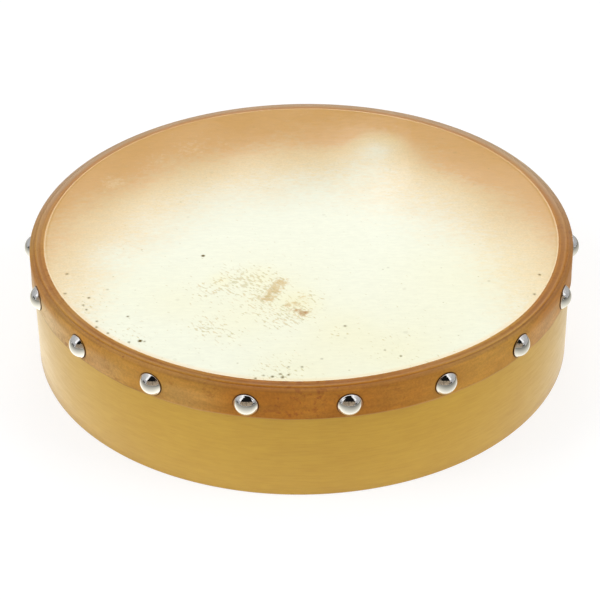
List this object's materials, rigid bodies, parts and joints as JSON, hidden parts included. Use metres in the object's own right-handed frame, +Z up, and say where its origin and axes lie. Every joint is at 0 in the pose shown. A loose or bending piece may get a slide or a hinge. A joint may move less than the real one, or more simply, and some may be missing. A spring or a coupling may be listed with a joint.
{
  "type": "hand drum",
  "caption": "Shallow round hand drum: a bent wood hoop with a natural hide head folded over its rim and held by dome-headed tacks, open underneath for the hand.",
  "frame": {"origin": "centre of the shell's lower edge, on the surface that the drum stands on", "axes": "+Z up along the shell's axis towards the head, -Y towards the front"},
  "size_m": [0.2596, 0.2558, 0.0562],
  "materials": {
    "lacquered_wood": "yellow clear lacquer, satin",
    "bare_wood": "sanded, thin clear coat",
    "hide": "natural translucent hide, satin",
    "tack_metal": "bright plated steel"
  },
  "bodies": {
    "root": {"shell_outer_ply": "lacquered_wood", "shell_core_ply": "bare_wood", "shell_inner_ply": "bare_wood", "drum_head": "hide", "tack_01": "tack_metal", "tack_02": "tack_metal", "tack_03": "tack_metal", "tack_04": "tack_metal", "tack_05": "tack_metal", "tack_06": "tack_metal", "tack_07": "tack_metal", "tack_08": "tack_metal", "tack_09": "tack_metal", "tack_10": "tack_metal", "tack_11": "tack_metal", "tack_12": "tack_metal", "tack_13": "tack_metal", "tack_14": "tack_metal", "tack_15": "tack_metal", "tack_16": "tack_metal", "tack_17": "tack_metal", "tack_18": "tack_metal"}
  },
  "joints": []
}
